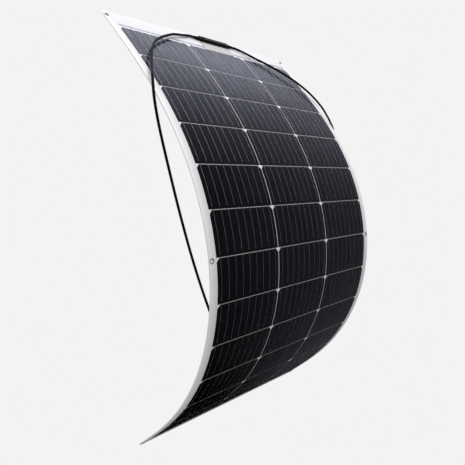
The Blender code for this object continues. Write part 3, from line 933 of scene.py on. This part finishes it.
# %% Rings of points, and plates with rounded corners
def turn_profile(profile, sides, place, closed=False):
    """Sweeps a profile of (along, radius), in millimetres, round its axis.

    place turns (along, a, b), in metres, to a point.
    """
    shape = bmesh.new()
    rings = []
    for along, radius in ((along / 1000, radius / 1000) for along, radius in profile):
        turns = [2 * pi * step / sides for step in range(sides)] if radius else [0.0]
        rings.append([shape.verts.new(place(along, radius * cos(t), radius * sin(t)))
                      for t in turns])
    pairs = list(zip(rings, rings[1:]))
    if closed:
        pairs.append((rings[-1], rings[0]))
    for first, second in pairs:
        for step in range(sides):
            after = (step + 1) % sides
            corners = [first[step % len(first)], first[after % len(first)],
                       second[after % len(second)], second[step % len(second)]]
            shape.faces.new(dict.fromkeys(corners))
    return shape


def rounded_outline(x, down, length, width, radius, steps=6):
    """A rectangle with rounded corners, in (across, down)."""
    points = []
    for corner, (side, way) in enumerate(((1, 1), (-1, 1), (-1, -1), (1, -1))):
        for step in range(steps + 1):
            turn = pi / 2 * (corner + step / steps)
            points.append((x + side * (length / 2 - radius) + radius * cos(turn),
                           down + way * (width / 2 - radius) + radius * sin(turn)))
    return points


def soften(shape, offset, segments=3):
    """Bevels the sharp edges."""
    sharp = [edge for edge in shape.edges if len(edge.link_faces) == 2
             and edge.calc_face_angle() > radians(50)]
    bmesh.ops.bevel(shape, geom=sharp, offset=offset, segments=segments, profile=0.5,
                    affect="EDGES", clamp_overlap=True)
    return shape


print("turning and rounding ready")

# %% [markdown]
# ## The eyelets
# Six nickel-plated brass eyelets take a hook or a screw. An eyelet is pressed in from the front
# as a short tube with a domed rim, and its other end is rolled over a washer behind. The metal's
# look comes mostly from what it reflects, so its finish only adds fine rings from the press tool
# and cloudy roughness. The middle pair sits where the sheet bends.

# %% The metal's finish
metal_finish, tree, shader = new_finish("eyelet_nickel", (0.70, 0.69, 0.66), 0.25, metallic=0.75)
place = object_place(tree)
cloud = noise(tree, place, 320.0, 3.0, 0.6)
scratch = noise(tree, place, 2600.0, 2.0, 0.7)
mottle(tree, shader, cloud, ((0.78, 0.77, 0.74), (0.62, 0.61, 0.58)), (0.18, 0.42))
feed(tree, shader, Normal=bump(tree, scratch, 0.25, 0.00003))

# %% The eyelets and their washers
EYELET_PROFILE = (
    (0.0, 2.75), (1.2, 2.75), (1.65, 2.85), (1.98, 3.1), (2.12, 3.5), (2.10, 4.1), (1.95, 4.6),
    (1.68, 4.92), (1.42, 5.0), (1.27, 4.9), (1.27, 3.25), (-1.75, 3.25), (-1.78, 3.9),
    (-1.95, 4.15), (-2.15, 4.0), (-2.22, 3.6), (-2.15, 3.1), (-1.9, 2.82), (-1.5, 2.75))
WASHER_PROFILE = ((-1.27, 3.3), (-1.27, 5.0), (-1.4, 5.1), (-1.65, 5.1), (-1.74, 5.0),
                  (-1.74, 3.3))


def make_ring(name, profile, side, strip, *replaced):
    """A ring in an eyelet hole, from a profile of (height, radius)."""
    x, down = side * EYELET_X, EYELET_DOWNS[strip]
    shape = turn_profile(profile, 48, lambda height, a, b: Vector((x + a, down + b, height)),
                         closed=True)
    place_on_sheet(name, shape, metal_finish, "eyelet_metal", strip, *replaced)


for strip, level in ((0, "top"), (6, "middle"), (ROWS, "bottom")):
    for side, hand in ((-1, "left"), (1, "right")):
        make_ring(f"grommet_{level}_{hand}", EYELET_PROFILE, side, strip,
                  f"eyelet_{level}_{hand}")
        make_ring(f"washer_{level}_{hand}", WASHER_PROFILE, side, strip)
print("eyelets at", round(EYELET_X, 4), "m from the middle")

# %% [markdown]
# ## The junction box
# The box that gathers the ribbons is very slim: a tray on a foam pad, a lid that clips on, a small
# vent button that lets the box breathe, and a collar at each end where a lead goes in. It is a
# moulded piece, so every edge is rounded over with a bevel. The tray is hollow, with a Boolean,
# because the terminals and the diode sit in it. A thin grey plate, as long as the box, lies on
# the film between the box and the cells.

# %% Sizes of the box
BOX_LENGTH = 0.087
BOX_WIDTH = 0.011
BOX_CORNER = 0.0022
BOX_WALL = 0.0012
BOX_X = 0.012
BOX_DOWN = SHEET_TOP + 0.0135
PAD_LOW = FRONT + 0.0001
TRAY_LOW = FRONT + 0.0009
TRAY_FLOOR = TRAY_LOW + 0.0010
TRAY_HIGH = FRONT + 0.0053
LID_HIGH = FRONT + 0.0071
LEAD_HEIGHT = FRONT + 0.0034


def box_plate(more_length, more_width, corner, low, high):
    """A plate over the box's outline, longer and wider than the tray by some amounts."""
    outline = rounded_outline(BOX_X, BOX_DOWN, BOX_LENGTH + more_length, BOX_WIDTH + more_width,
                              corner)
    return add_plate(bmesh.new(), outline, low, high)


def place_on_top(name, shape, finish, slot, *replaced):
    """Lays a flat-drawn piece on the top band and has it move with it."""
    return place_on_sheet(name, shape, finish, slot, 0, *replaced, sharp=40)


# %% The pad, the tray and the lid
pad = soften(box_plate(-0.001, -0.0006, 0.0012, PAD_LOW, TRAY_LOW + 0.0001), 0.0002)
place_on_top("box_pad", pad, foam_finish, "foam_tape", "junction_box_pad")

tray = soften(box_plate(0, 0, BOX_CORNER, TRAY_LOW, TRAY_HIGH), 0.0005)
hollow = box_plate(-2 * BOX_WALL, -2 * BOX_WALL, 0.0012, TRAY_FLOOR, TRAY_HIGH + 0.002)
place_on_top("box_tray", subtract(tray, hollow), plastic_finish, "black_plastic",
             "junction_box_base")

lid = soften(box_plate(0.0003, 0.0003, 0.0023, TRAY_HIGH + 0.0001, LID_HIGH), 0.0007, 4)
raised = rounded_outline(BOX_X + 0.006, BOX_DOWN, 0.056, 0.0062, 0.0012)
add_plate(lid, raised, LID_HIGH - 0.0003, LID_HIGH + 0.0003)
place_on_top("box_lid", lid, plastic_finish, "black_plastic", "junction_box_lid")
print("box", BOX_LENGTH, "by", BOX_WIDTH, "by", round(LID_HIGH - FRONT, 4), "m")

# %% The vent button and the clips
VENT_X = BOX_X - BOX_LENGTH / 2 + 0.0105
VENT_LOW = LID_HIGH - 0.0002
VENT_PROFILE = ((0.0, 0.0), (0.0, 2.6), (1.1, 2.6), (1.6, 2.3), (1.8, 1.8), (1.75, 1.1),
                (1.5, 0.9), (1.5, 0.0))
CLIP_PITCH = 0.018
CLIP_LENGTH = 0.0045
vent = turn_profile(VENT_PROFILE, 32, lambda height, a, b: Vector(
    (VENT_X + a, BOX_DOWN + b, VENT_LOW + height)))
place_on_top("box_vent", vent, plastic_finish, "black_plastic")

clips = bmesh.new()
for step in (-2, -1, 0, 1, 2):
    for side in (-1, 1):
        middle = BOX_DOWN + side * (BOX_WIDTH / 2 + 0.0001)
        clip = rounded_outline(BOX_X + step * CLIP_PITCH, middle, CLIP_LENGTH, 0.0012, 0.0004, 3)
        add_plate(clips, clip, TRAY_LOW + 0.0012, TRAY_HIGH + 0.0012)
place_on_top("box_clips", soften(clips, 0.0002, 2), plastic_finish, "black_plastic")
print("vent and clips placed")

# %% The patch
patch_finish, tree, shader = new_finish("grey_patch", (0.45, 0.45, 0.45), 0.6,
                                        Specular_IOR_Level=0.2)
place = flat_place(tree)
cloud = noise(tree, place, 60.0, 4.0, 0.6)
feed(tree, shader, Roughness=spread(tree, cloud, 0.3, 0.7, 0.42, 0.6),
     Base_Color=mix_colour(tree, spread(tree, cloud, 0.35, 0.7, 0.0, 1.0),
                           (0.470, 0.468, 0.465), (0.410, 0.408, 0.405)),
     Normal=bump(tree, noise(tree, place, 900.0, 2.0), 0.2, 0.00005))
# A thin grey plate on the film between the box and the cells, as long as the box.
PATCH_HIGH = FRONT + 0.0007
PATCH_TOP = BOX_DOWN - BOX_WIDTH / 2 + 0.001
PATCH_END = CELL_GAP / 2 - 0.0006
patch = rounded_outline(BOX_X, (PATCH_TOP + PATCH_END) / 2, BOX_LENGTH - 0.001,
                        PATCH_END - PATCH_TOP, 0.0015)
patch = soften(add_plate(bmesh.new(), patch, FRONT - 0.0002, PATCH_HIGH), 0.0001, 2)
place_on_top("grey_plate_below_box", patch, patch_finish, "white_sheet")
print("patch", round(PATCH_END - PATCH_TOP, 4), "m wide")

# %% The collars and the boots on the leads
COLLAR_PROFILE = ((-2.0, 0.0), (-2.0, 3.4), (0.6, 3.4), (1.2, 3.2), (1.6, 2.9), (1.6, 0.0))
BOOT_LENGTH = 13.0
BOOT_ROOT = 3.6
BOOT_TAPER = 0.9
BOOT_END = 2.62
BOOT_RIBS = 5
RIB_HEIGHT = 0.22
BOOT_STEPS = 60


def boot_profile():
    """A tapering boot with soft ribs, as (along, radius) in millimetres."""
    points = [(0.0, 0.0)]
    for share in (step / BOOT_STEPS for step in range(BOOT_STEPS)):
        rib = RIB_HEIGHT * cos(share * BOOT_RIBS * 2 * pi) * (1 - share)
        points.append((share * BOOT_LENGTH, BOOT_ROOT - BOOT_TAPER * share + rib))
    return [*points, (BOOT_LENGTH, BOOT_END), (BOOT_LENGTH, 0.0)]


for side, hand in ((-1, "left"), (1, "right")):
    root = BOX_X + side * BOX_LENGTH / 2

    def from_root(along, a, b):
        return Vector((root + side * along, BOX_DOWN + a, LEAD_HEIGHT + b))

    place_on_top("box_collar_" + hand, turn_profile(COLLAR_PROFILE, 32, from_root),
                 plastic_finish, "black_plastic")
    place_on_top("boot_" + hand, turn_profile(boot_profile(), 32, from_root), rubber_finish,
                 "black_rubber", "strain_relief_" + hand)
print("boots", BOOT_LENGTH, "mm long")

# %% [markdown]
# ## The connectors
# Behind the sheet the two leads are plugged into each other. Each half is a moulded body with a
# ribbed cap nut that squeezes a seal round its lead. The plug's two sprung arms snap into windows
# in the socket. The nuts' grip ribs are one rib repeated round a circle, so Geometry Nodes place
# them, and the bodies are turned.

# %% A tree that sets ribs round a turned body
def ribs_tree():
    """Adds ribs, evenly spaced round the X axis, to a body."""
    tree, given = new_tree("ribs_round", ("Ribs", "Int"), ("Circle radius", "Float"),
                           ("Rib size", "Vector"), ("Middle", "Vector"))
    circle = add_node(tree, "GeometryNodeMeshCircle", Vertices=given["Ribs"],
                      Radius=given["Circle radius"])
    rib = add_node(tree, "GeometryNodeMeshCube", Size=given["Rib size"])
    outward = add_node(tree, "FunctionNodeAlignEulerToVector",
                       Vector=tree.nodes.new("GeometryNodeInputPosition").outputs[0])
    ribs = add_node(tree, "GeometryNodeInstanceOnPoints", Points=circle.outputs["Mesh"],
                    Instance=rib.outputs["Mesh"], Rotation=outward.outputs["Rotation"])
    laid = add_node(tree, "GeometryNodeTransform", Geometry=ribs.outputs["Instances"],
                    Rotation=(0, pi / 2, 0), Translation=given["Middle"])
    both = add_node(tree, "GeometryNodeJoinGeometry")
    for part in (laid.outputs["Geometry"], given["Geometry"]):
        tree.links.new(part, both.inputs[0])
    return end_tree(tree, given, both.outputs[0])


ribs_round = ribs_tree()

# %% The cap nuts
CONNECTOR = Vector((-0.002, -0.037, -0.719))
NUT_PROFILE = ((48.0, 0.0), (48.0, 3.4), (47.4, 4.4), (45.8, 5.4), (43.0, 7.1), (41.8, 7.6),
               (31.2, 7.6), (30.5, 7.2), (30.2, 6.6), (30.2, 0.0))
NUT_RIBS = 14
NUT_RADIUS = 0.0076
NUT_MIDDLE = 0.0363
NUT_RIB = (0.0016, 0.0014, 0.0096)


def turn_on_connector(profile, sides, side=1):
    """A profile turned round the connector's axis, from its middle to one side."""
    return turn_profile(profile, sides,
                        lambda along, a, b: CONNECTOR + Vector((side * along, a, b)))


for side, hand in ((-1, "left"), (1, "right")):
    blank = finish_shape("nut_blank", turn_on_connector(NUT_PROFILE, 42, side), plastic_finish)
    nut = grow("cap_nut_" + hand, blank.data, ribs_round, plastic_finish, Ribs=NUT_RIBS,
               Circle_radius=NUT_RADIUS, Rib_size=NUT_RIB,
               Middle=CONNECTOR + Vector((side * NUT_MIDDLE, 0, 0)))
    bpy.data.objects.remove(blank)
    settle(nut, "black_plastic", 0, "connector_nut_" + hand)
print("nuts with", NUT_RIBS, "ribs each")

# %% The socket, the plug and its sprung arms
SOCKET_PROFILE = ((-31.5, 0.0), (-31.5, 6.0), (-30.0, 6.0), (-29.8, 7.6), (-29.0, 8.1),
                  (-24.5, 8.1), (-24.0, 7.5), (-19.5, 7.5), (-18.5, 8.2), (-1.2, 8.2),
                  (-0.5, 7.9), (-0.3, 7.2), (-0.3, 5.6), (-17.0, 5.6), (-17.0, 0.0))
PLUG_PROFILE = ((31.5, 0.0), (31.5, 6.0), (30.0, 6.0), (29.8, 7.6), (29.0, 8.1), (24.5, 8.1),
                (24.0, 7.3), (15.0, 7.3), (14.0, 8.3), (4.0, 8.3), (1.0, 8.0), (0.2, 7.6),
                (0.2, 4.9), (-16.5, 4.9), (-16.5, 4.2), (-16.8, 2.4), (-4.0, 2.4), (-4.0, 0.0))
WINDOW_LOW = (-0.0135, -0.012, -0.0028)
WINDOW_HIGH = (-0.0065, 0.012, 0.0028)
ARM_TIP = -0.0125
ARM_ROOT = 0.0110


def add_box(shape, low, high):
    """A box between two corners, measured from the connector's middle."""
    (left, near, floor_z), (right, far, top_z) = (CONNECTOR + Vector(end) for end in (low, high))
    outline = [(left, near), (right, near), (right, far), (left, far)]
    return add_plate(shape, outline, floor_z, top_z)


socket_shape = subtract(turn_on_connector(SOCKET_PROFILE, 48),
                        add_box(bmesh.new(), WINDOW_LOW, WINDOW_HIGH))
plug_shape = turn_on_connector(PLUG_PROFILE, 48)

arms = bmesh.new()
for side in (-1, 1):
    for start, end, inner, outer, half in ((ARM_TIP + 0.0015, ARM_ROOT, 0.0072, 0.0090, 0.0022),
                                           (ARM_TIP, ARM_TIP + 0.0045, 0.0060, 0.0088, 0.0024)):
        near, far = sorted((side * inner, side * outer))
        add_box(arms, (start, near, -half), (end, far, half))
bmesh.ops.bevel(arms, geom=arms.edges[:], offset=0.0003, segments=2, profile=0.5,
                affect="EDGES", clamp_overlap=True)
for name, shape, replaced in (("socket_body", socket_shape, ["connector_socket"]),
                              ("plug_body", plug_shape, ["connector_plug"]),
                              ("plug_arms", arms, [])):
    settle(finish_shape(name, shape, plastic_finish), "black_plastic", 0, *replaced)
print("connector", 2 * NUT_PROFILE[0][0], "mm long")

# %% [markdown]
# ## Finishes for what stays inside
# Terminals, the diode, the contact pin and the seal are hidden in the box and the connector. They
# keep the engineering model's shapes, which are right, and only get a finish with some life in it.

# %% Brass, the diode's plastic and the red seal
brass_finish, tree, shader = new_finish("tinned_brass", (0.72, 0.55, 0.28), 0.3, metallic=1.0)
stain = noise(tree, object_place(tree), 700.0, 4.0, 0.6)
mottle(tree, shader, stain, ((0.78, 0.62, 0.34), (0.52, 0.38, 0.18)), (0.22, 0.45))
seal_finish = black_finish("red_seal", (0.40, 0.06, 0.04), (0.50, 0.10, 0.07), 0.50, 0.70,
                           1500.0, 0.00004)
for name, finish in (("terminal_left", brass_finish), ("terminal_right", brass_finish),
                     ("connector_pin", brass_finish), ("bypass_diode", plastic_finish),
                     ("connector_seal", seal_finish)):
    nodes[name].data.materials.clear()
    nodes[name].data.materials.append(finish)
print("inner finishes set")

# %% [markdown]
# ## The floor and the light
# The studio is as plain as it gets: a wide pale floor, and a pale world of the same tone, so that
# no horizon shows. The floor glows instead of being lit, which keeps it even. A glossy black thing
# shows whatever is round it, so a photographer hangs black cards low down and a bright sheet
# overhead. The world does the same here: in reflections it is bright and a little bluish above and
# behind, dims to the right, and fades to black below and in front, but for a faint glow far to the
# right. What falls on the sheet as plain light is the same all round, and two soft lamps that
# reflections don't show add to it from above and behind. No real room is like this: the eye, the
# reflections and the plain light each get a world of their own.

# %% The pale floor
FLOOR_DROP = 0.6
FLOOR_HALF = 60.0
PALE = 0.896

floor_finish, tree, shader = new_finish("pale_floor", (0.0, 0.0, 0.0), 0.9,
                                        Specular_IOR_Level=0.0, Emission_Strength=1.0,
                                        Emission_Color=(PALE, PALE, PALE, 1.0))
floor_level = cad_box[0].z - FLOOR_DROP
shape = bmesh.new()
shape.faces.new([shape.verts.new((x * FLOOR_HALF, y * FLOOR_HALF, floor_level))
                 for x, y in ((-1, -1), (1, -1), (1, 1), (-1, 1))])
studio_floor = finish_shape("pale_floor", shape, floor_finish)
studio_floor.visible_glossy = False
studio_floor.visible_diffuse = False
print("floor at", round(floor_level, 3), "m")

# %% The world: what the eye sees, what lights the sheet and what gleams on it
AMBIENT = 0.66
GLEAM = 1.62
GLEAM_COLOUR = (0.80, 0.82, 1.0)
GLEAM_FALL = 2.2
RIGHT_DIMMING = 0.55
SIDE_GLEAM = 0.16

world = bpy.data.worlds.new("studio")
world.use_nodes = True
tree = world.node_tree
kind = add_node(tree, "ShaderNodeLightPath")
way = add_node(tree, "ShaderNodeSeparateXYZ",
               Vector=add_node(tree, "ShaderNodeTexCoord").outputs["Generated"])
right, back, up = way.outputs
behind = math_node(tree, "POWER", spread(tree, back, -0.75, 0.25, 0.0, 1.0), GLEAM_FALL)
sky = math_node(tree, "MULTIPLY", behind, spread(tree, up, -0.1, 0.35, 0.0, 1.0))
sky = math_node(tree, "MULTIPLY", sky, spread(tree, right, 0.66, 0.80, 1.0, RIGHT_DIMMING))
side = spread(tree, right, 0.62, 0.84, 0.0, SIDE_GLEAM)
glow = math_node(tree, "ADD", math_node(tree, "MULTIPLY", sky, GLEAM), side)
tinted = add_node(tree, "ShaderNodeVectorMath", {"operation": "SCALE"}, Scale=glow)
tinted.inputs[0].default_value = GLEAM_COLOUR
seen = mix_colour(tree, kind.outputs["Is Glossy Ray"], (AMBIENT, AMBIENT, AMBIENT),
                  tinted.outputs[0])
seen = mix_colour(tree, kind.outputs["Is Camera Ray"], seen, (PALE, PALE, PALE))
feed(tree, tree.nodes["Background"], Color=seen)
bpy.context.scene.world = world
bpy.context.scene.view_settings.view_transform = "Standard"
print("backdrop", PALE, "ambient", AMBIENT, "gleam", GLEAM)


# %% The lamps
def add_lamp(name, way, distance, size, power, target):
    """A soft round lamp in a direction from its target, turned to face it."""
    lamp = bpy.data.lights.new(name, "AREA")
    lamp.shape = "DISK"
    lamp.size = size
    lamp.energy = power
    holder = link_object(name, lamp)
    away = Vector(way).normalized()
    holder.location = Vector(target) + distance * away
    holder.rotation_euler = away.to_track_quat("Z", "Y").to_euler()
    holder.visible_glossy = False


centre = (cad_box[0] + cad_box[1]) / 2
add_lamp("overhead_lamp", way=(0.1, -0.35, 1.0), distance=2.2, size=1.6, power=40.0,
         target=centre)
add_lamp("back_lamp", way=(0.3, 1.0, 0.25), distance=2.4, size=1.8, power=20.0, target=centre)
print("lamps aim at", [round(value, 3) for value in centre])

# %% [markdown]
# ## Who goes with whom
# Every piece has to move with a body of the engineering model. The leads and the box are fixed to
# the top band.

# %% Riding on the bodies
LEFT_PARTS = ("cap_nut_left", "socket_body", "boot_left", "connector_seal")
RIGHT_PARTS = ("cap_nut_right", "plug_body", "plug_arms", "boot_right", "connector_pin")
for lead, route, length, parts, solid in (
        (left_lead, LEFT_ROUTE, left_length, LEFT_PARTS, "lead_left"),
        (right_lead, RIGHT_ROUTE, right_length, RIGHT_PARTS, "lead_right")):
    settle(lead, "black_rubber", 0, solid)
